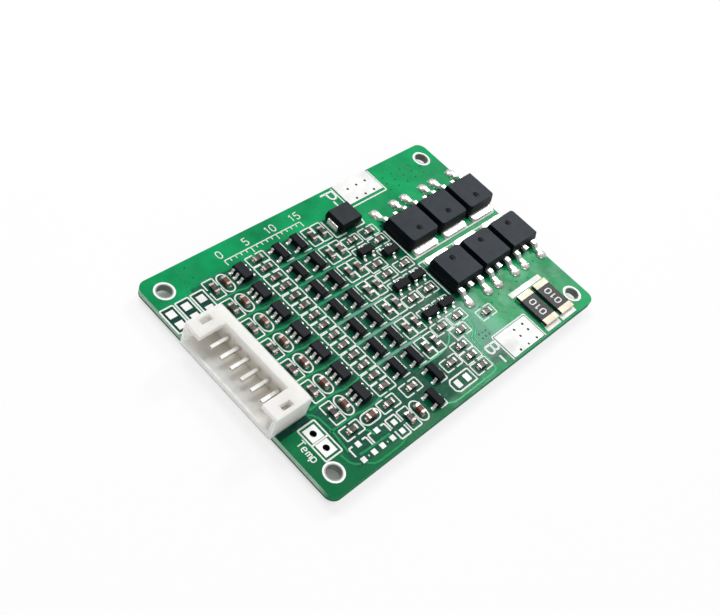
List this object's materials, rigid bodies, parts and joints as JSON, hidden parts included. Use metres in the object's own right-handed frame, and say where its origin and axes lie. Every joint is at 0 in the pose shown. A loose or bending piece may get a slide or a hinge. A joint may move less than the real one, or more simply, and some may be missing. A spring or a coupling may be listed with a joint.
{
  "type": "battery management board",
  "caption": "Battery protection circuit board with a side-entry cell header, power transistors, current shunts, wire pads, sensor holes and corner mounting holes.",
  "frame": {"origin": "middle of the four mounting holes, on the underside of the board", "axes": "+X along the long side, away from the header; +Y towards the discharge pad's edge; +Z out of the component side"},
  "size_m": [0.0613, 0.04, 0.0069],
  "materials": {
    "solder_mask": "green solder mask over glass fibre laminate",
    "tinned_copper": "tinned, smooth",
    "lead_tin": "matt tin",
    "solder": "bright solder",
    "header_nylon": "natural, slightly translucent",
    "mould_compound": "fine matt moulding",
    "resistor_coat": "dark overglaze on a ceramic slab",
    "shunt_coat": "dark overglaze on a ceramic slab",
    "capacitor_ceramic": "bare brown ceramic"
  },
  "bodies": {
    "root": {"circuit_board": "solder_mask", "mount_rings": "tinned_copper", "sensor_pads": "tinned_copper", "discharge_pad": "tinned_copper", "battery_pad": "tinned_copper", "bare_pads": "tinned_copper", "header_housing": "header_nylon", "header_pin_1": "lead_tin", "header_pin_2": "lead_tin", "header_pin_3": "lead_tin", "header_pin_4": "lead_tin", "header_pin_5": "lead_tin", "header_pin_6": "lead_tin", "header_pin_7": "lead_tin", "header_pin_8": "lead_tin", "header_solder_joints": "solder", "mosfet_body_1": "mould_compound", "mosfet_metal_1": "lead_tin", "mosfet_body_2": "mould_compound", "mosfet_metal_2": "lead_tin", "mosfet_body_3": "mould_compound", "mosfet_metal_3": "lead_tin", "mosfet_body_4": "mould_compound", "mosfet_metal_4": "lead_tin", "mosfet_body_5": "mould_compound", "mosfet_metal_5": "lead_tin", "mosfet_body_6": "mould_compound", "mosfet_metal_6": "lead_tin", "shunt_core_1": "shunt_coat", "shunt_terminals_1": "tinned_copper", "shunt_core_2": "shunt_coat", "shunt_terminals_2": "tinned_copper", "diode_body": "mould_compound", "diode_terminals": "lead_tin", "monitor_body_1": "mould_compound", "monitor_leads_1": "lead_tin", "monitor_body_2": "mould_compound", "monitor_leads_2": "lead_tin", "monitor_body_3": "mould_compound", "monitor_leads_3": "lead_tin", "monitor_body_4": "mould_compound", "monitor_leads_4": "lead_tin", "monitor_body_5": "mould_compound", "monitor_leads_5": "lead_tin", "monitor_body_6": "mould_compound", "monitor_leads_6": "lead_tin", "monitor_body_7": "mould_compound", "monitor_leads_7": "lead_tin", "bleed_transistor_bodies": "mould_compound", "bleed_transistor_leads": "lead_tin", "signal_transistor_bodies": "mould_compound", "signal_transistor_leads": "lead_tin", "driver_transistor_bodies": "mould_compound", "driver_transistor_leads": "lead_tin", "cell_resistor_cores": "resistor_coat", "cell_resistor_terminals": "tinned_copper", "driver_resistor_cores": "resistor_coat", "driver_resistor_terminals": "tinned_copper", "capacitor_cores": "capacitor_ceramic", "capacitor_terminals": "tinned_copper"}
  },
  "joints": []
}
